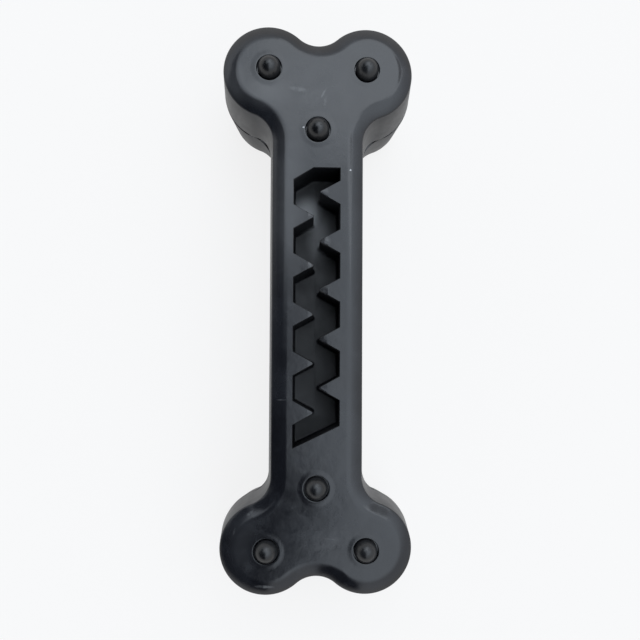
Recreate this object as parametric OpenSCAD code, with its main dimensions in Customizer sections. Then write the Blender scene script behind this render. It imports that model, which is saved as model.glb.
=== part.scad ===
/* [Bone] */
// Length over the knobs, at the parting plane
bone_l = 216; // [205:1:260]
// Diameter of each knob, at the parting plane
knob_d = 37.8; // [34:0.1:44]
// Distance between the two knobs of one end
knob_pitch = 36.8; // [32:0.1:44]
// Width of the shaft, at the parting plane
shaft_w = 37.4; // [34:0.1:46]
// Radius of the hollow between a knob and the shaft, at the parting plane
neck_r = 9.1; // [5:0.1:12]
// Radius of the notch between the two knobs of one end, at the parting plane
notch_r = 9.4; // [5:0.1:12]
// Height of one half, from the parting plane to its face
half_h = 21.4; // [17:0.1:28]
// Rounding of the edge round each face
edge_r = 4.8; // [1:0.1:6]
// Lean of the side walls, in degrees
wall_lean = 5; // [1:0.5:8]
// Bevel along the rim where the halves meet, which shows as the seam
seam_bevel = 0.35; // [0.1:0.05:1]

/* [Treat slot] */
// Width of the slot, from wall to wall
slot_w = 17.1; // [15.5:0.1:22]
// Rubber left between the slot floor and the parting plane
web_t = 6; // [3:0.1:10]
// Distance from a shaft pin to the near end of the slot
slot_end_gap = 14.8; // [12:0.1:20]
// Drop of the slanted end wall at the foot end
foot_drop = 8.4; // [5:0.1:12]
// Distance from one tooth to the next in a row
tooth_pitch = 18.2; // [14:0.1:22]
// Width of a tooth where it leaves the wall
tooth_base = 9; // [6:0.1:11]
// Reach of a tooth from the wall into the slot
tooth_l = 7.3; // [4:0.1:7.6]
// Rounding of a tooth's tip
tooth_tip_r = 0.5; // [0.2:0.05:1]

/* [Pins] */
// Diameter of each pin and of its domed ends
pin_d = 8.6; // [6:0.1:10]
// Distance that an end pin stands outward from its knob's centre, along the bone
end_pin_out = 0.8; // [0:0.1:3]
// Distance from the end pins to the shaft pin, along the bone
shaft_pin_in = 23; // [20:0.1:26]
// Diameter of the collar that the halves trap between them
collar_d = 13; // [11:0.1:15]
// Thickness of the collar
collar_t = 3; // [2:0.1:5]

/* [Fits] */
// Gap all round a pin in its hole
pin_gap = 0.05; // [0.02:0.01:0.09]
// Gap all round a collar in its pocket, and over and under it
collar_gap = 0.15; // [0.05:0.01:0.4]
// Width of the open ring round a dome, where a hole meets the face
ring_w = 0.45; // [0.2:0.05:1]
// Depth of that ring
ring_depth = 1.5; // [0.5:0.1:3]

/* [Hidden] */
$fn = 96;

// Overrun of every cut
over = 1;

// The wall leans in as it rises, and a round edge runs from it into the face
arc_z = half_h - edge_r;
touch_z = arc_z + edge_r * sin(wall_lean);
touch_in = touch_z * tan(wall_lean);
arc_in = touch_in + edge_r * cos(wall_lean);

// Centres of a knob, of the hollow beside it and of the notch, for the right side of the head end
knob_r = knob_d / 2;
knob_x = knob_pitch / 2;
knob_y = bone_l / 2 - knob_r;
neck_x = shaft_w / 2 + neck_r;
neck_y = knob_y - sqrt(pow(knob_r + neck_r, 2) - pow(neck_x - knob_x, 2));
notch_y = knob_y + sqrt(pow(knob_r + notch_r, 2) - pow(knob_x, 2));

// Directions from a knob's centre to those of its hollow and notch
to_neck = atan2(neck_y - knob_y, neck_x - knob_x);
to_notch = atan2(notch_y - knob_y, -knob_x);

// Places of the pins, and of the parting plane above the tips of the lower domes
pin_r = pin_d / 2;
end_pin_y = knob_y + end_pin_out;
shaft_pin_y = end_pin_y - shaft_pin_in;
parting_z = half_h + pin_r;

// The rows of teeth stand half a pitch apart, the right one nearer the head end
slot_head_y = shaft_pin_y - slot_end_gap;
foot_room = 2 * slot_head_y - foot_drop + tooth_base / 2 - tooth_pitch / 2;
teeth = floor(foot_room / tooth_pitch);
foot_right_y = slot_head_y - (teeth + 1 / 2) * tooth_pitch + tooth_base / 2;
foot_left_y = foot_right_y - foot_drop;

rubber_color = "#2f3337";
pin_color = "#23262a";

// Steps along each turn of the outline, and up the round edge
knob_steps = 30;
hollow_steps = 8;
notch_steps = 4;
edge_steps = 6;

// Points along a turn, each with the direction that faces out of the rubber: bend is -1 for a hollow
function turn(centre, r, from, to, steps, bend) = [
    for (i = [0 : steps])
        let (a = from + (to - from) * i / steps, way = [cos(a), sin(a)])
            [centre + r * way, bend * way]
];
function without_first(list) = [for (i = [1 : len(list) - 1]) list[i]];
function mirrored(list) = [
    for (i = [len(list) - 2 : -1 : 0])
        [for (pair = list[i]) [-pair.x, pair.y]]
];

// Outline at the parting plane, from the shaft's right side round one end to its left side
quarter = concat(
    turn([neck_x, neck_y], neck_r, 180, 180 + to_neck, hollow_steps, -1),
    without_first(turn([knob_x, knob_y], knob_r, to_neck, to_notch, knob_steps, 1)),
    without_first(turn([0, notch_y], notch_r, to_notch - 180, -90, notch_steps, -1))
);
end_outline = concat(quarter, mirrored(quarter));
outline = concat(end_outline, -end_outline);
end_points = len(end_outline);
ring_points = len(outline);

// Inset and height of each ring, from the seam up the leaning wall and over the round edge
rings = concat(
    [[seam_bevel, 0], [seam_bevel * tan(wall_lean), seam_bevel]],
    [
        for (i = [0 : edge_steps])
            let (a = wall_lean + (90 - wall_lean) * i / edge_steps)
                [arc_in - edge_r * cos(a), arc_z + edge_r * sin(a)]
    ]
);
cap_centres = [
    [0, knob_y], [knob_x, knob_y], [-knob_x, knob_y],
    [0, -knob_y], [-knob_x, -knob_y], [knob_x, -knob_y],
];

function ring(inset, z) = [
    for (pair = outline) let (at = pair[0] - inset * pair[1]) [at.x, at.y, z]
];
function range(from, to) = [for (i = [from : to]) i];
// A face turned over: it still starts at its centre, and runs round it the other way
function turned_over(face) = concat([face[0]], [for (i = [len(face) - 1 : -1 : 1]) face[i]]);

// Faces of one cap seen from above: for each end its middle and its two knobs, then the shaft
function end_faces(first, centre) = let (
    neck_end = first + hollow_steps,
    knob_end = neck_end + knob_steps,
    knob_start = knob_end + 2 * notch_steps,
    neck_start = knob_start + knob_steps,
    last = neck_start + hollow_steps
) [
    concat(
        [centre], range(first, neck_end), [centre + 1],
        range(knob_end, knob_start), [centre + 2], range(neck_start, last)
    ),
    concat([centre + 1], range(neck_end, knob_end)),
    concat([centre + 2], range(knob_start, neck_start)),
];
function cap_faces(base, centres) = concat(
    end_faces(base, centres),
    end_faces(base + end_points, centres + 3),
    [[
        centres, base + end_points - 1, base + end_points,
        centres + 3, base + 2 * end_points - 1, base,
    ]]
);

// Solid rubber of one half, face up, with its parting plane at z = 0
module half_blank() {
    ring_count = len(rings);
    under = ring_count * ring_points;
    above = under + len(cap_centres);
    points = concat(
        [for (r = rings) each ring(r.x, r.y)],
        [for (c = cap_centres) [c.x, c.y, 0]],
        [for (c = cap_centres) [c.x, c.y, half_h]]
    );
    walls = [
        for (k = [0 : ring_count - 2]) for (i = [0 : ring_points - 1])
            let (low = k * ring_points, next = (i + 1) % ring_points)
                [low + i, low + ring_points + i, low + ring_points + next, low + next]
    ];
    top = [for (f = cap_faces((ring_count - 1) * ring_points, above)) turned_over(f)];
    polyhedron(points, concat(walls, cap_faces(0, under), top));
}

// One tooth, pointing along +X from a wall at x = 0, with a round tip
module tooth() {
    half_tip = atan2(tooth_base / 2, tooth_l + tooth_tip_r);
    tip_x = tooth_l - tooth_tip_r;
    polygon([
        [-over, -tooth_base / 2],
        [0, -tooth_base / 2],
        [tip_x + tooth_tip_r * sin(half_tip), -tooth_tip_r * cos(half_tip)],
        [tip_x + tooth_tip_r * sin(half_tip), tooth_tip_r * cos(half_tip)],
        [0, tooth_base / 2],
        [-over, tooth_base / 2],
    ]);
    translate([tip_x, 0]) circle(r = tooth_tip_r);
}

// Outline of the slot: the head end is half a tooth and a square corner, the foot end one slant
module slot_outline() {
    difference() {
        polygon([
            [slot_w / 2, slot_head_y],
            [tooth_l - slot_w / 2, slot_head_y],
            [-slot_w / 2, slot_head_y - tooth_base / 2],
            [-slot_w / 2, foot_left_y],
            [slot_w / 2, foot_right_y],
        ]);
        for (i = [0 : teeth - 1]) {
            translate([slot_w / 2, slot_head_y - (i + 1 / 2) * tooth_pitch])
                mirror([1, 0]) tooth();
            translate([-slot_w / 2, slot_head_y - (i + 1) * tooth_pitch]) tooth();
        }
    }
}

// Hands its shape to the place of one pin
module at_pin(side, end) {
    on_knob = side != 0;
    translate([side * knob_x, end * (on_knob ? end_pin_y : shaft_pin_y), 0]) children();
}

// A pin's hole, with the pocket for half of its collar and the open ring at the face
module pin_hole() {
    translate([0, 0, -over])
        cylinder(r = pin_r + pin_gap, h = half_h + 2 * over);
    translate([0, 0, -over])
        cylinder(r = collar_d / 2 + collar_gap, h = over + collar_t / 2 + collar_gap);
    translate([0, 0, half_h - ring_depth])
        cylinder(r = pin_r + ring_w, h = ring_depth + over);
}

module slotted_blank() {
    difference() {
        half_blank();
        translate([0, 0, web_t]) linear_extrude(half_h - web_t + over) slot_outline();
    }
}

// One half, face up, with its parting plane at z = 0
module half() {
    difference() {
        slotted_blank();
        for (end = [-1, 1]) for (side = [-1, 0, 1]) at_pin(side, end) pin_hole();
    }
}

// A pin through both halves: a straight shank, a collar at its middle and a dome at each end
module pin() {
    rotate_extrude() {
        translate([0, -half_h]) square([pin_r, 2 * half_h]);
        translate([0, -collar_t / 2]) square([collar_d / 2, collar_t]);
        for (end = [0, 1]) mirror([0, end]) translate([0, half_h]) intersection() {
            circle(r = pin_r);
            square([2 * pin_r, 2 * pin_r]);
        }
    }
}

module upper_half() {
    color(rubber_color) translate([0, 0, parting_z]) half();
}

// The lower half is the same moulding, turned over about the bone's length
module lower_half() {
    color(rubber_color) translate([0, 0, parting_z]) rotate([0, 180, 0]) half();
}

module placed_pin(side, end) {
    color(pin_color) translate([0, 0, parting_z]) at_pin(side, end) pin();
}

module head_pin_left() { placed_pin(-1, 1); }
module head_pin_right() { placed_pin(1, 1); }
module head_shaft_pin() { placed_pin(0, 1); }
module foot_shaft_pin() { placed_pin(0, -1); }
module foot_pin_left() { placed_pin(-1, -1); }
module foot_pin_right() { placed_pin(1, -1); }

upper_half();
lower_half();
head_pin_left();
head_pin_right();
head_shaft_pin();
foot_shaft_pin();
foot_pin_left();
foot_pin_right();
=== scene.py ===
import math

import bmesh
import bpy
from mathutils import Matrix, Vector, kdtree


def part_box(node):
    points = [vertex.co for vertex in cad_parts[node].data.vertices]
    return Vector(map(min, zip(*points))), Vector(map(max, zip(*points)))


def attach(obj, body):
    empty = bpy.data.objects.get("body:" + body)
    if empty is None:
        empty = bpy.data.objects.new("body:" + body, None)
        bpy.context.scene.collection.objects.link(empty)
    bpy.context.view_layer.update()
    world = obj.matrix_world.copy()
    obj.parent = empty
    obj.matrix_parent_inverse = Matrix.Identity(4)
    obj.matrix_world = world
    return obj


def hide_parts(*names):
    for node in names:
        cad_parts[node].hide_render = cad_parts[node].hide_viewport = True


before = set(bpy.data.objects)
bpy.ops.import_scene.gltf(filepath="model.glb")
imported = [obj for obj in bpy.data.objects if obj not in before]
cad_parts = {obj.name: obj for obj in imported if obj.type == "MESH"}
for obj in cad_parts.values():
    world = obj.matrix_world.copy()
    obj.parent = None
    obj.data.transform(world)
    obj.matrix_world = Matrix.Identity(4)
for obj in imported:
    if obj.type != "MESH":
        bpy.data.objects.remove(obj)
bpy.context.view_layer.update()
mm = 0.001
hair = 0.001 * mm
up = Vector((0, 0, 1))
halfLow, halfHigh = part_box("upper_half")
partingZ = halfLow.z
halfHeight = halfHigh.z - halfLow.z
print("frame loaded:", len(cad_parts), "nodes")


# Materials

def addNode(tree, kind, inputs=None, **settings):
    node = tree.nodes.new("ShaderNode" + kind)
    for name, value in settings.items():
        setattr(node, name, value)
    for name, value in (inputs or {}).items():
        if isinstance(value, bpy.types.NodeSocket):
            tree.links.new(value, node.inputs[name])
        else:
            node.inputs[name].default_value = value
    return node


def noiseOn(tree, coords, scale, detail=2.0, roughness=0.5, distortion=0.0):
    noise = addNode(tree, "TexNoise", {
        "Vector": coords, "Scale": scale, "Detail": detail,
        "Roughness": roughness, "Distortion": distortion,
    })
    return noise.outputs["Fac"]


def remap(tree, value, fromLow, fromHigh, toLow, toHigh, smooth=False):
    kind = "SMOOTHSTEP" if smooth else "LINEAR"
    node = addNode(tree, "MapRange", {
        "Value": value, "From Min": fromLow, "From Max": fromHigh,
        "To Min": toLow, "To Max": toHigh,
    }, interpolation_type=kind)
    return node.outputs["Result"]


def mixColour(tree, amount, first, second):
    node = addNode(tree, "Mix", data_type="RGBA", clamp_factor=True)
    for name, value in (("Factor", amount), ("A", first), ("B", second)):
        socket = [s for s in node.inputs if s.name == name and s.enabled][0]
        if isinstance(value, bpy.types.NodeSocket):
            tree.links.new(value, socket)
        else:
            socket.default_value = value if name == "Factor" else (*value, 1)
    return [s for s in node.outputs if s.enabled][0]


def calculate(tree, operation, first, second):
    node = addNode(tree, "Math", {0: first, 1: second}, operation=operation)
    return node.outputs[0]


def patchMask(tree, coords, patch):
    # 1 at the middle of a patch, fading to 0 at its rim
    placed = addNode(tree, "Mapping", {
        "Vector": coords, "Location": patch["at"],
        "Rotation": (0, 0, math.radians(patch["turn"])), "Scale": patch["size"],
    }, vector_type="TEXTURE")
    ball = addNode(tree, "TexGradient", {"Vector": placed.outputs["Vector"]},
                   gradient_type="SPHERICAL")
    return ball.outputs["Fac"]


faceZ = halfHigh.z
rubberFinish = {
    "deep": (0.0060, 0.0064, 0.0084),
    "bloomed": (0.0125, 0.0137, 0.0168),
    # pale colour of the dust and scuffs, also used for the painted light and painted highlights
    "dustAndPaintedLight": (0.42, 0.43, 0.44),
    "roughness": (0.10, 0.18),
    "wallRoughness": 0.32,
    "specular": 0.5,
    "bloomScale": 38, "smudgeScale": 150, "grainScale": 2600, "waveScale": 230,
    "grainDepth": 0.000006, "waveDepth": 0.000035,
    # parts of the noise that the bloom and the smudges fade in over
    "bloomRange": (0.36, 0.68), "smudgeRange": (0.50, 0.72), "smudgeShare": 0.5,
    # how soft the rims of the marks and of the painted light are, and how fine the streaks in the
    # scuffs and painted highlights
    "fades": {"scuffsAndHighlights": (0, 0.7), "paintedLightPatches": (0, 0.9), "specks": (0.1, 0.6)},
    "streakScale": 420,
    # marks on the upper half: places and reaches in millimetres, heights from the upper face
    # scuffs left by teeth and by handling, with painted highlights among them
    "scuffsAndHighlights": [
        {"at": (-2, 79, 0), "size": (9, 4, 3), "turn": 25, "amount": 0.03},
        {"at": (2.0, 80.6, 0), "size": (2.6, 0.5, 2), "turn": 62, "amount": 0.16},
        {"at": (2.65, 77.6, 0), "size": (2.4, 0.7, 2), "turn": 80, "amount": 0.10},
        {"at": (-7.6, 82.0, 0), "size": (4.5, 1.3, 2), "turn": 172, "amount": 0.12},
        {"at": (4, -86, 0), "size": (11, 5, 3), "turn": 12, "amount": 0.04},
        {"at": (5, -85.4, 0), "size": (3.5, 0.4, 2), "turn": -8, "amount": 0.06},
        {"at": (-13.2, -34.2, 0), "size": (2.6, 0.4, 2), "turn": 0, "amount": 0.10},
        # a painted highlight: the gloss streak on the rounded edge at the foot's lower left
        {"at": (-18.8, -102.8, 0), "size": (4.5, 0.8, 5), "turn": -3, "amount": 0.2},
        {"at": (-24.4, -76.0, 0), "size": (1.8, 0.7, 4), "turn": 35, "amount": 0.10},
        {"at": (-30.0, -82.5, 0), "size": (0.5, 1.8, 4), "turn": -15, "amount": 0.07},
        # wear on the worn tooth tips, lightened further by painted glints
        {"at": (2.6, 25, 0), "size": (2.9, 2.7, 4), "turn": 0, "amount": 0.12},
        {"at": (2.4, 6.7, 0), "size": (2.7, 2.5, 4), "turn": 0, "amount": 0.08},
        {"at": (2.2, -11.5, 0), "size": (2.4, 2.2, 4), "turn": 0, "amount": 0.05},
        {"at": (-2.2, 16, 0), "size": (2.2, 2, 4), "turn": 0, "amount": 0.05},
    ],
    # painted light: a pale patch on the slot floor towards its head end, where light falls in, and
    # painted sheen that lightens the shaded left of the face
    "paintedLightPatches": [
        {"at": (-4.4, 39, -15.4), "size": (7.5, 9, 5), "turn": -20, "amount": 0.55},
        {"at": (1, 30, -15.4), "size": (6.5, 13, 5), "turn": 0, "amount": 0.24},
        {"at": (-11, 40, 0), "size": (9.5, 46, 2.6), "turn": 0, "amount": 0.08},
        {"at": (-19, 80.6, 0), "size": (12, 9, 2.6), "turn": 0, "amount": 0.07},
        {"at": (-31, 84, -0.6), "size": (7, 14, 2.6), "turn": 0, "amount": 0.06},
        {"at": (-27, -86, 0), "size": (9, 16, 2.6), "turn": 0, "amount": 0.02},
    ],
    # grains of dust on the upper face
    "specks": [
        {"at": (-5.4, 67.6, 0), "size": (0.5, 0.5, 1), "turn": 0, "amount": 1},
        {"at": (12.25, 51.8, 0), "size": (0.5, 0.5, 1), "turn": 0, "amount": 1},
    ],
}


def dustAndPaintedLightOn(tree, coords, colour, finish, kind, streaks=None):
    # lays one kind of mark over the rubber's colour: dust, scuffs, painted light and painted highlights
    for mark in finish[kind]:
        x, y, z = mark["at"]
        place = (x * mm, y * mm, faceZ + z * mm)
        reaches = [reach * mm for reach in mark["size"]]
        mask = patchMask(tree, coords, dict(mark, at=place, size=reaches))
        mask = remap(tree, mask, *finish["fades"][kind], 0, mark["amount"], True)
        if streaks is not None:
            mask = calculate(tree, "MULTIPLY", mask, streaks)
        colour = mixColour(tree, mask, colour, finish["dustAndPaintedLight"])
    return colour


def rubberMaterial(name, finish, marked):
    material = bpy.data.materials.new(name)
    material.use_nodes = True
    tree = material.node_tree
    shader = tree.nodes["Principled BSDF"]
    coords = addNode(tree, "TexCoord").outputs["Object"]
    bloom = noiseOn(tree, coords, finish["bloomScale"], 3, 0.5, 0.4)
    smudge = noiseOn(tree, coords, finish["smudgeScale"], 5, 0.62, 0.8)
    cloudy = remap(tree, bloom, *finish["bloomRange"], 0, 1, True)
    smudged = remap(tree, smudge, *finish["smudgeRange"], 0, finish["smudgeShare"], True)
    amount = calculate(tree, "ADD", cloudy, smudged)
    colour = mixColour(tree, amount, finish["deep"], finish["bloomed"])
    if marked:
        streaks = noiseOn(tree, coords, finish["streakScale"], 4, 0.6, 1.0)
        streaks = remap(tree, streaks, 0.35, 0.65, 0.3, 1, True)
        # scuffs with painted highlights, then patches of painted light, then dust specks
        colour = dustAndPaintedLightOn(tree, coords, colour, finish, "scuffsAndHighlights", streaks)
        colour = dustAndPaintedLightOn(tree, coords, colour, finish, "paintedLightPatches")
        colour = dustAndPaintedLightOn(tree, coords, colour, finish, "specks")
    # smudges and bloom dull the gloss a little, and the moulded walls are duller than the face
    gloss = remap(tree, smudge, 0.3, 0.7, *finish["roughness"])
    facing = addNode(tree, "TexCoord").outputs["Normal"]
    facing = addNode(tree, "SeparateXYZ", {"Vector": facing}).outputs["Z"]
    level = addNode(tree, "Math", {0: facing}, operation="ABSOLUTE").outputs[0]
    gloss = calculate(tree, "ADD", gloss, remap(tree, bloom, 0.35, 0.65, -0.02, 0.04))
    dull = remap(tree, level, 0.1, 0.85, finish["wallRoughness"], 0, True)
    gloss = calculate(tree, "ADD", gloss, dull)
    wave = addNode(tree, "Bump", {
        "Height": noiseOn(tree, coords, finish["waveScale"], 2, 0.5, 0.3),
        "Strength": 1.0, "Distance": finish["waveDepth"],
    })
    grain = addNode(tree, "Bump", {
        "Height": noiseOn(tree, coords, finish["grainScale"], 3, 0.6, 0),
        "Strength": 1.0, "Distance": finish["grainDepth"], "Normal": wave.outputs["Normal"],
    })
    shader.inputs["Specular IOR Level"].default_value = finish["specular"]
    tree.links.new(colour, shader.inputs["Base Color"])
    tree.links.new(gloss, shader.inputs["Roughness"])
    tree.links.new(grain.outputs["Normal"], shader.inputs["Normal"])
    return material


# the slot's rubber is duller, and its colour is darker than the face's as painted shade in the deep
# slot
slotFinishPaintedShade = dict(
    rubberFinish, deep=(0.0025, 0.003, 0.0042), bloomed=(0.005, 0.0055, 0.0068),
    roughness=(0.38, 0.50), wallRoughness=0.1, specular=0.30, bloomScale=60,
    waveDepth=0.00004, grainDepth=0.000005,
)
pinFinish = dict(
    rubberFinish, deep=(0.003, 0.0034, 0.0044), bloomed=(0.008, 0.0088, 0.0105),
    roughness=(0.22, 0.30), wallRoughness=0.1, specular=0.5, bloomScale=120,
    waveDepth=0.00003, grainDepth=0.000005,
)
# the face's rubber carries painted highlights and painted light among its marks
outerRubber = rubberMaterial("chewedOuterRubberPaintedLight", rubberFinish, True)
slotRubberPaintedShadeAndLight = rubberMaterial("mouldedSlotRubberPaintedShadeAndLight", slotFinishPaintedShade, True)
pinRubber = rubberMaterial("polishedPinRubber", pinFinish, False)
print("materials made")


# Shared modelling steps

def growArc(bm, vert, centre, degrees, steps):
    # carries a vertex round a centre and leaves a chain of edges behind it
    spun = bmesh.ops.spin(bm, geom=[vert], cent=centre, axis=up,
                          angle=math.radians(degrees), steps=steps)
    return [g for g in spun["geom_last"] if isinstance(g, bmesh.types.BMVert)][0]


def growChain(bm, places):
    verts = [bm.verts.new(place) for place in places]
    edges = [bm.edges.new(pair) for pair in zip(verts, verts[1:])]
    return verts, edges


def stepIn(bm, face, inset, rise):
    # one ring of quads round a flat face, which moves inward and up
    ring = bmesh.ops.inset_region(bm, faces=[face], thickness=inset,
                                  use_boundary=True, use_even_offset=True)["faces"]
    bmesh.ops.translate(bm, verts=face.verts, vec=up * rise)
    return ring


def growOut(bm, face, distance):
    # widens a lone flat face
    ring = stepIn(bm, face, -distance, 0)
    bmesh.ops.delete(bm, geom=ring, context="FACES")


def openFace(bm, face):
    # takes the face away and hands back its edges, to be filled round holes
    edges = list(face.edges)
    bmesh.ops.delete(bm, geom=[face], context="FACES_ONLY")
    return edges


def spinProfile(bm, centre, profile, steps):
    # profile holds (distance from the pin's axis, height) pairs
    verts, edges = growChain(bm, [centre + Vector((r, 0, z)) for r, z in profile])
    before = set(bm.edges)
    bmesh.ops.spin(bm, geom=verts + edges, cent=centre, axis=up,
                   angle=2 * math.pi, steps=steps, use_merge=True)
    return [e for e in set(bm.edges) - before | set(edges) if len(e.link_faces) == 1]


def markSharp(bm, limit):
    # flat faces keep one normal, and edges past the limit stay crisp
    for edge in bm.edges:
        edge.smooth = edge.is_manifold and edge.calc_face_angle() < math.radians(limit)


def makePiece(bm, name, body, node, materials):
    # a finished piece sits at the origin, with its place in its mesh
    mesh = bpy.data.meshes.new(name)
    bm.to_mesh(mesh)
    bm.free()
    for material in materials:
        mesh.materials.append(material)
    piece = bpy.data.objects.new(name, mesh)
    bpy.context.scene.collection.objects.link(piece)
    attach(piece, body)
    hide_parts(node)
    print("made", name, "with", len(mesh.polygons), "faces")
    return piece


# The six pins

pinSizes = {
    "diameter": 8.6 * mm,
    "collarDiameter": 13 * mm,
    "collarThickness": 3 * mm,
    "edgeRound": 0.3 * mm,
    "steps": 64,
    "domeSteps": 18,
    "sharpPast": 35,
}
pinNodes = {
    "headPinLeftRubber": "head_pin_left",
    "headPinRightRubber": "head_pin_right",
    "headShaftPinRubber": "head_shaft_pin",
    "footShaftPinRubber": "foot_shaft_pin",
    "footPinLeftRubber": "foot_pin_left",
    "footPinRightRubber": "foot_pin_right",
}


def pinCentre(node):
    low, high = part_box(node)
    return (low + high) / 2


def buildPin(name, node):
    radius = pinSizes["diameter"] / 2
    collar = pinSizes["collarDiameter"] / 2
    halfCollar = pinSizes["collarThickness"] / 2
    roundOff = pinSizes["edgeRound"]
    steps = pinSizes["domeSteps"]
    # from the top of the dome down the shank and round the collar, then the same below
    arc = [math.pi / 2 * i / steps for i in range(steps, -1, -1)]
    profile = [(radius * math.cos(a), halfHeight + radius * math.sin(a)) for a in arc]
    profile += [(radius, halfCollar), (collar - roundOff, halfCollar)]
    profile += [(collar, halfCollar - roundOff)]
    profile += [(r, -z) for r, z in reversed(profile)]
    bm = bmesh.new()
    spinProfile(bm, pinCentre(node), profile, pinSizes["steps"])
    bmesh.ops.remove_doubles(bm, verts=bm.verts, dist=hair)
    bmesh.ops.recalc_face_normals(bm, faces=bm.faces)
    for face in bm.faces:
        face.smooth = True
    markSharp(bm, pinSizes["sharpPast"])
    return makePiece(bm, name, "lower_body", node, [pinRubber])


for pieceName, nodeName in pinNodes.items():
    buildPin(pieceName, nodeName)


# The two halves, which are the same moulding

halfSizes = {
    "length": 216 * mm,
    "knobDiameter": 37.8 * mm,
    "knobPitch": 36.8 * mm,
    "shaftWidth": 37.4 * mm,
    "neckRadius": 9.1 * mm,
    "notchRadius": 9.4 * mm,
    "wallLean": 5,
    # the top edge from wall to face: each bend's last tilt in degrees, its radius and its steps
    "edgeBends": ((28, 0.8 * mm, 6), (18, 22 * mm, 6), (0, 6.5 * mm, 6)),
    # a flat ring round the face, which keeps its shading even
    "supportWidth": 0.3 * mm,
    "knobSteps": 60,
    "neckSteps": 18,
    "notchSteps": 10,
    "sharpPast": 40,
}
seamSizes = {
    "radius": 0.20 * mm,
    "steps": 3,
    # where along the bone the halves press together and where they gape, and by what shares
    "pinchAt": 71.9 * mm,
    "pinchWidth": 1.3 * mm,
    "pinch": 0.9,
    "gapeAt": 67.4 * mm,
    "gapeWidth": 4.6 * mm,
    "gape": 2.2,
    # how far a half's rim stands off the parting plane, and how far in from the wall
    "rimGap": 0.6 * mm,
    "gapReach": 2.4 * mm,
}


def bump(distance, width):
    # smooth hump, 1 at its middle and 0 past its width
    share = min(abs(distance) / width, 1)
    return (1 - share * share) ** 2


def seamOpening(y):
    # the halves gape beside each neck and press together on the knob just past it
    pinch = bump(abs(y) - seamSizes["pinchAt"], seamSizes["pinchWidth"])
    gape = bump(abs(y) - seamSizes["gapeAt"], seamSizes["gapeWidth"])
    return (1 + seamSizes["gape"] * gape) * (1 - seamSizes["pinch"] * pinch)


def boneOutline(bm):
    # a quarter of the outline, turned about its neck, knob and notch, then mirrored twice
    size = halfSizes
    knobRadius = size["knobDiameter"] / 2
    knobX = size["knobPitch"] / 2
    knobY = size["length"] / 2 - knobRadius
    neckX = size["shaftWidth"] / 2 + size["neckRadius"]
    neckY = knobY - math.sqrt((knobRadius + size["neckRadius"]) ** 2 - (neckX - knobX) ** 2)
    notchY = knobY + math.sqrt((knobRadius + size["notchRadius"]) ** 2 - knobX ** 2)
    toNeck = math.degrees(math.atan2(neckY - knobY, neckX - knobX))
    toNotch = math.degrees(math.atan2(notchY - knobY, -knobX))
    verts, _ = growChain(bm, [(size["shaftWidth"] / 2, 0, 0), (size["shaftWidth"] / 2, neckY, 0)])
    end = growArc(bm, verts[1], (neckX, neckY, 0), toNeck, size["neckSteps"])
    end = growArc(bm, end, (knobX, knobY, 0), toNotch - toNeck, size["knobSteps"])
    growArc(bm, end, (0, notchY, 0), 90 - toNotch, size["notchSteps"])
    for axis in "XY":
        bmesh.ops.mirror(bm, geom=bm.verts[:] + bm.edges[:], matrix=Matrix.Identity(4),
                         merge_dist=hair, axis=axis)
    face = bmesh.ops.contextual_create(bm, geom=bm.edges[:])["faces"][0]
    if face.normal.z < 0:
        face.normal_flip()
    return face


def shapeSeam(bm, corners):
    # lifts the rim off the other half, and draws it to its sharp corner where the halves press together
    tree = kdtree.KDTree(len(corners))
    for index, corner in enumerate(corners):
        tree.insert(corner, index)
    tree.balance()
    bevelTop = 1.01 * seamSizes["radius"]  # a little over, so that the bevel's top ring is in
    for vert in bm.verts:
        if vert.co.z < bevelTop:
            corner = tree.find(Vector((vert.co.x, vert.co.y, 0)))[0]
            opening = seamOpening(vert.co.y)
            lift = up * seamSizes["rimGap"] * opening
            vert.co = corner + (vert.co - corner) * min(opening, 1) + lift


def edgeSteps():
    # inward and upward parts of each small step round the top edge
    steps = []
    tilt = math.radians(90 - halfSizes["wallLean"])
    for end, radius, count in halfSizes["edgeBends"]:
        turn = (tilt - math.radians(end)) / count
        for _ in range(count):
            steps.append((radius * (math.sin(tilt) - math.sin(tilt - turn)),
                          radius * (math.cos(tilt - turn) - math.cos(tilt))))
            tilt -= turn
    return steps


def solidBlank(bm):
    # leaning walls, a rounded top edge, a flat face and a fine radius at the seam
    steps = edgeSteps()
    wallHeight = halfHeight - sum(rise for _, rise in steps)
    face = boneOutline(bm)
    corners = [v.co.copy() for v in face.verts]
    stepIn(bm, face, wallHeight * math.tan(math.radians(halfSizes["wallLean"])), wallHeight)
    rim = [e for e in bm.edges if e.is_boundary]
    bottom = bmesh.ops.contextual_create(bm, geom=rim)["faces"][0]
    for inset, rise in steps:
        stepIn(bm, face, inset, rise)
    bmesh.ops.bevel(bm, geom=list(bottom.edges), offset=seamSizes["radius"], offset_type="OFFSET",
                    segments=seamSizes["steps"], profile=0.5, affect="EDGES", material=-1)
    shapeSeam(bm, corners)
    flats = [f for f in bm.faces if len(f.verts) > 4]
    flats.sort(key=lambda f: f.calc_center_median().z)
    bottom, top = flats
    # the open gap runs in from the rim to where the halves meet
    stepIn(bm, bottom, seamSizes["gapReach"], 0)
    stepIn(bm, bottom, seamSizes["rimGap"], 0)
    for vert in bottom.verts:
        vert.co.z = 0
    return top, bottom


slotSizes = {
    "width": 17.3 * mm,
    "centreX": -0.25 * mm,
    "web": 6 * mm,
    "endGap": 14.4 * mm,
    "footDrop": 8.4 * mm,
    "toothPitch": 18.3 * mm,
    "toothBase": 9 * mm,
    "toothLength": 7.45 * mm,
    "tipRadius": 0.65 * mm,
    "tipSteps": 5,
    "rimRadius": 0.22 * mm,
    "rimSteps": 3,
    "floorRadius": 1.1 * mm,
    "floorSteps": 5,
    "draft": 0.2,
}
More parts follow.
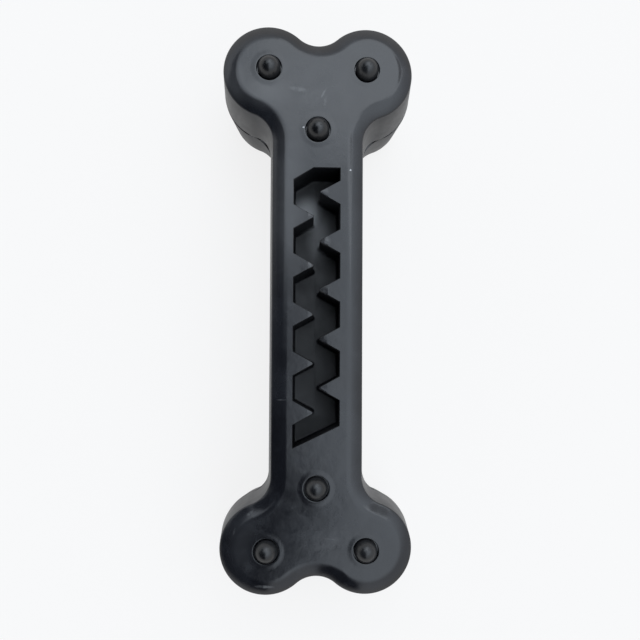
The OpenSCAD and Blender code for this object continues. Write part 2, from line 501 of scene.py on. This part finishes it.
# how far each tip is worn away, from the head end to the foot end; cuts are the shares of the
# reach at which the top of a tooth gets vertices to bend at
toothWear = {
    "right": {"drop": 0.9 * mm, "reach": 3.0 * mm, "shares": (0, 1.0, 1.0, 0.8, 0)},
    "left": {"drop": 0.6 * mm, "reach": 2.0 * mm, "shares": (0.2, 0.9, 1.0, 0.6, 0)},
    "cuts": (0.12, 0.25, 0.38, 0.5, 0.62, 0.74, 0.86, 1.0),
}


def slotCorners():
    # corners of the slot, clockwise from the head's right corner, and which of them are tooth tips
    size = slotSizes
    half = size["width"] / 2
    base = size["toothBase"] / 2
    sharpTip = size["toothLength"] + size["tipRadius"] - half
    headY = pinCentre("head_shaft_pin").y - size["endGap"]
    footRoom = 2 * headY - size["footDrop"] + base - size["toothPitch"] / 2
    teeth = math.floor(footRoom / size["toothPitch"])
    footRightY = headY - (teeth + 0.5) * size["toothPitch"] + base
    corners = [(half, headY, False)]
    for i in range(teeth):
        y = headY - (i + 0.5) * size["toothPitch"]
        corners += [(half, y + base, False), (-sharpTip, y, True), (half, y - base, False)]
    corners += [(half, footRightY, False), (-half, footRightY - size["footDrop"], False)]
    for i in reversed(range(teeth)):
        y = headY - (i + 1) * size["toothPitch"]
        corners += [(-half, y - base, False), (sharpTip, y, True), (-half, y + base, False)]
    corners += [(-half, headY - base, False), (size["toothLength"] - half, headY, False)]
    return [(x + size["centreX"], y, isTip) for x, y, isTip in corners]


def cutSlot(bm):
    # the toothed slot as a cup, from its rim on the face down to its floor
    size = slotSizes
    corners = slotCorners()
    verts = [bm.verts.new((x, y, halfHeight)) for x, y, isTip in corners]
    floor = bm.faces.new(verts)
    if floor.normal.z < 0:
        floor.normal_flip()
    halfTip = math.atan2(size["toothBase"] / 2, size["toothLength"] + size["tipRadius"])
    tips = [v for v, corner in zip(verts, corners) if corner[2]]
    sides = set(bm.faces) - {floor}
    bmesh.ops.bevel(bm, geom=tips, affect="VERTICES", offset=size["tipRadius"] / math.tan(halfTip),
                    offset_type="OFFSET", segments=size["tipSteps"], profile=0.5, material=-1)
    floor = [f for f in bm.faces if f not in sides][0]
    rim = size["rimRadius"]
    growOut(bm, floor, rim)
    before = set(bm.faces) - {floor}
    for i in range(size["rimSteps"]):
        a, b = (math.pi / 2 * k / size["rimSteps"] for k in (i, i + 1))
        stepIn(bm, floor, rim * (math.sin(b) - math.sin(a)), rim * (math.cos(b) - math.cos(a)))
    depth = halfHeight - size["web"] - rim - size["floorRadius"]
    stepIn(bm, floor, depth * math.tan(math.radians(size["draft"])), -depth)
    for i in range(size["floorSteps"]):
        a, b = (math.pi / 2 * k / size["floorSteps"] for k in (i, i + 1))
        stepIn(bm, floor, size["floorRadius"] * (math.cos(a) - math.cos(b)),
               -size["floorRadius"] * (math.sin(b) - math.sin(a)))
    cup = set(bm.faces) - before
    for face in cup:
        face.material_index = 1
    return [e for e in bm.edges if e.is_boundary and e.link_faces[0] in cup]


def faceVertsAlongSlot(bm):
    # vertices of the face and of the slot's rounded rim, away from the knobs
    rimZ = halfHeight - 1.1 * slotSizes["rimRadius"]
    endY = halfSizes["length"] / 3
    return [v for v in bm.verts if v.co.z > rimZ and abs(v.co.y) < endY]


def wearTips(bm):
    # the top of each tooth slopes down towards its tip
    reach = slotSizes["width"] / 2 - slotSizes["toothLength"]
    for wear, side in ((toothWear["right"], 1), (toothWear["left"], -1)):
        tipX = slotSizes["centreX"] + side * reach
        rows = sorted((y for x, y, isTip in slotCorners() if isTip and x * side > 0), reverse=True)
        for cut in toothWear["cuts"]:
            top = faceVertsAlongSlot(bm)
            near = set(top)
            top += [e for e in bm.edges if near.issuperset(e.verts)]
            top += [f for f in bm.faces if near.issuperset(f.verts)]
            bmesh.ops.bisect_plane(bm, geom=top, dist=hair, plane_no=(1, 0, 0),
                                   plane_co=(tipX + side * cut * wear["reach"], 0, 0))
        for vert in faceVertsAlongSlot(bm):
            for y, share in zip(rows, wear["shares"]):
                away = math.hypot(vert.co.x - tipX, vert.co.y - y) / wear["reach"]
                if away < 1:
                    vert.co.z -= wear["drop"] * share * (1 - away) ** 2
                    for face in vert.link_faces:
                        face.smooth = True


holeSizes = {
    "clearance": 0.05 * mm,
    "ringWidth": 0.42 * mm,
    "ringDepth": 1.5 * mm,
    "lipReach": 2.2 * mm,
    "lipRise": 0.065 * mm,
    "lipRound": 0.16 * mm,
    "lipSteps": 6,
    "roundSteps": 4,
    "collarGap": 0.15 * mm,
    "steps": 64,
}


def holeProfile():
    # from the face over a soft lip, down the open ring and the shank's hole to the collar's pocket
    size = holeSizes
    shank = pinSizes["diameter"] / 2
    ring = shank + size["ringWidth"]
    crest = ring + size["lipRound"]
    pocket = pinSizes["collarDiameter"] / 2 + size["collarGap"]
    pocketTop = pinSizes["collarThickness"] / 2 + size["collarGap"]
    top = halfHeight + size["lipRise"]
    profile = []
    for i in range(size["lipSteps"] + 1):
        share = i / size["lipSteps"]
        ease = share * share * (3 - 2 * share)
        profile.append((crest + size["lipReach"] * (1 - share), halfHeight + size["lipRise"] * ease))
    for i in range(1, size["roundSteps"] + 1):
        a = math.pi / 2 * i / size["roundSteps"]
        profile.append((crest - size["lipRound"] * math.sin(a),
                        top - size["lipRound"] * (1 - math.cos(a))))
    profile.append((ring, halfHeight - size["ringDepth"]))
    profile.append((shank + size["clearance"], halfHeight - size["ringDepth"]))
    profile.append((shank + size["clearance"], pocketTop))
    profile += [(pocket, pocketTop), (pocket, 0)]
    return profile


def fillFlat(bm, edges, normal):
    filled = bmesh.ops.triangle_fill(bm, use_beauty=True, use_dissolve=False,
                                     edges=edges, normal=normal)
    return [g for g in filled["geom"] if isinstance(g, bmesh.types.BMFace)]


def buildHalf(name, body, node, turn):
    bm = bmesh.new()
    top, bottom = solidBlank(bm)
    stepIn(bm, top, halfSizes["supportWidth"], 0)
    topEdges = openFace(bm, top)
    bottomEdges = openFace(bm, bottom)
    topEdges += cutSlot(bm)
    for pinNode in pinNodes.values():
        place = pinCentre(pinNode)
        rims = spinProfile(bm, Vector((place.x, place.y, 0)), holeProfile(), holeSizes["steps"])
        for edge in rims:
            (topEdges if edge.verts[0].co.z > halfHeight / 2 else bottomEdges).append(edge)
    bm.normal_update()
    for face in bm.faces:
        face.smooth = True
    for face in fillFlat(bm, topEdges, up) + fillFlat(bm, bottomEdges, -up):
        face.smooth = False
    wearTips(bm)
    bmesh.ops.recalc_face_normals(bm, faces=bm.faces)
    markSharp(bm, halfSizes["sharpPast"])
    bmesh.ops.transform(bm, verts=bm.verts, matrix=Matrix.Translation(up * partingZ) @ turn)
    return makePiece(bm, name, body, node, [outerRubber, slotRubberPaintedShadeAndLight])


buildHalf("upperHalfRubber", "upper_body", "upper_half", Matrix.Identity(4))
buildHalf("lowerHalfRubber", "lower_body", "lower_half", Matrix.Rotation(math.pi, 4, "Y"))


# Floor, light and camera

studio = {
    "floorWidth": 3.0,
    "floorWhite": 0.92,
    "background": (0.947, 0.947, 0.947),
    "ownGlow": 0.87,
    "panelAt": (0.40, 0.74, 1.15),
    "panelSize": (1.0, 0.8),
    "panelPower": 2.7,
    "panelTint": (0.95, 1.0, 1.06),
    "walls": (0.98, 1.03, 1.10),
    "ceiling": (1.88, 2.07, 2.29),
    "shade": (0.015, 0.015, 0.02),
    # heights between which the pale background turns into the room overhead
    "horizonEdge": (0.32, 0.50),
    # direction in which the ceiling is brightest, how wide that patch is and how it fades
    "ceilingPatch": {"at": (0.16, 0.12, 0.92), "size": (0.85, 0.95, 0.95), "turn": 0},
    "patchFade": (0.05, 0.6),
    # the room is dark on the left and overhead, except towards the head end
    "sideEdge": (-0.075, 0.05),
    "headEdge": (0.04, 0.36),
    # darker spots: just left of overhead, two on the left towards the head end, one on the right
    "spotFade": (0, 0.35),
    "darkSpots": [
        {"at": (-0.040, -0.204, 0.98), "size": (0.095, 0.072, 0.5), "turn": -10},
        {"at": (-0.62, 0.28, 0.79), "size": (0.29, 0.27, 0.28), "turn": 0},
        {"at": (-0.50, 0.48, 0.70), "size": (0.22, 0.24, 0.22), "turn": 0},
        {"at": (0.43, 0.47, 0.77), "size": (0.17, 0.18, 0.30), "turn": 0},
    ],
}


def floorMaterial():
    # white paper; part of what the camera and reflections see is its own glow, so shadows stay pale
    material = bpy.data.materials.new("whiteSweep")
    material.use_nodes = True
    tree = material.node_tree
    tree.nodes.remove(tree.nodes["Principled BSDF"])
    white = studio["floorWhite"]
    paper = addNode(tree, "BsdfDiffuse", {"Color": (white, white, white, 1)})
    glow = addNode(tree, "Emission", {"Color": (*studio["background"], 1), "Strength": 1.0})
    path = addNode(tree, "LightPath")
    seen = calculate(tree, "MAXIMUM", path.outputs["Is Camera Ray"], path.outputs["Is Glossy Ray"])
    seen = calculate(tree, "MAXIMUM", seen, path.outputs["Is Transmission Ray"])
    share = calculate(tree, "MULTIPLY", seen, studio["ownGlow"])
    mixed = addNode(tree, "MixShader", {0: share, 1: paper.outputs[0], 2: glow.outputs[0]})
    tree.links.new(mixed.outputs[0], tree.nodes["Material Output"].inputs["Surface"])
    return material


def layFloor():
    bm = bmesh.new()
    bmesh.ops.create_grid(bm, x_segments=1, y_segments=1, size=studio["floorWidth"] / 2)
    mesh = bpy.data.meshes.new("floorSheet")
    bm.to_mesh(mesh)
    bm.free()
    mesh.materials.append(floorMaterial())
    floor = bpy.data.objects.new("floorSheet", mesh)
    bpy.context.scene.collection.objects.link(floor)


def hangPanel():
    # a soft lamp above the right of the head end, aimed at the bone
    light = bpy.data.lights.new("softPanel", "AREA")
    light.shape = "RECTANGLE"
    light.size, light.size_y = studio["panelSize"]
    light.energy = studio["panelPower"]
    light.color = studio["panelTint"]
    panel = bpy.data.objects.new("softPanel", light)
    panel.location = studio["panelAt"]
    panel.rotation_euler = (-panel.location).to_track_quat("-Z", "Y").to_euler()
    bpy.context.scene.collection.objects.link(panel)


def lightRoom():
    # pale up to well above the horizon; overhead the room is bright on the right and dark on the left
    world = bpy.data.worlds.new("paleRoom")
    world.use_nodes = True
    tree = world.node_tree
    around = addNode(tree, "TexCoord").outputs["Generated"]
    bright = patchMask(tree, around, studio["ceilingPatch"])
    bright = remap(tree, bright, *studio["patchFade"], 0, 1, True)
    way = addNode(tree, "SeparateXYZ", {"Vector": around}).outputs
    lit = calculate(tree, "MAXIMUM", remap(tree, way["X"], *studio["sideEdge"], 0, 1, True),
                    remap(tree, way["Y"], *studio["headEdge"], 0, 1, True))
    for spot in studio["darkSpots"]:
        outside = remap(tree, patchMask(tree, around, spot), *studio["spotFade"], 1, 0, True)
        lit = calculate(tree, "MULTIPLY", lit, outside)
    colour = mixColour(tree, bright, studio["walls"], studio["ceiling"])
    colour = mixColour(tree, lit, studio["shade"], colour)
    overhead = remap(tree, way["Z"], *studio["horizonEdge"], 0, 1, True)
    colour = mixColour(tree, overhead, studio["background"], colour)
    tree.links.new(colour, tree.nodes["Background"].inputs["Color"])
    bpy.context.scene.world = world


viewFromPhoto = {
    "at": (-4.020 * mm, -27.416 * mm, 284.25 * mm),
    "roll": 0.0044,
    "tiltX": -0.02407,
    "tiltY": -0.04308,
    "lens": 36,
    "sensor": 36,
    "imageWidth": 640,
    "centrePixel": (333.528, 366.350),
}


def placeCamera():
    view = viewFromPhoto
    camera = bpy.data.cameras.new("photoCamera")
    camera.sensor_fit = "HORIZONTAL"
    camera.sensor_width = view["sensor"]
    camera.lens = view["lens"]
    camera.clip_start = 0.01
    width = view["imageWidth"]
    camera.shift_x = (width / 2 - view["centrePixel"][0]) / width
    camera.shift_y = (view["centrePixel"][1] - width / 2) / width
    # looking straight down, then turned by the three small angles
    turn = Matrix.Rotation(view["roll"], 3, "Z") @ Matrix.Rotation(view["tiltX"], 3, "X")
    turn = turn @ Matrix.Rotation(view["tiltY"], 3, "Y") @ Matrix.Diagonal((1, -1, -1))
    right, down, forward = turn
    place = Matrix((right, -down, -forward)).transposed().to_4x4()
    place.translation = view["at"]
    holder = bpy.data.objects.new("photoCamera", camera)
    holder.matrix_world = place
    bpy.context.scene.collection.objects.link(holder)
    bpy.context.scene.camera = holder


layFloor()
hangPanel()
lightRoom()
placeCamera()
bpy.context.scene.view_settings.view_transform = "Standard"
print("studio set up")
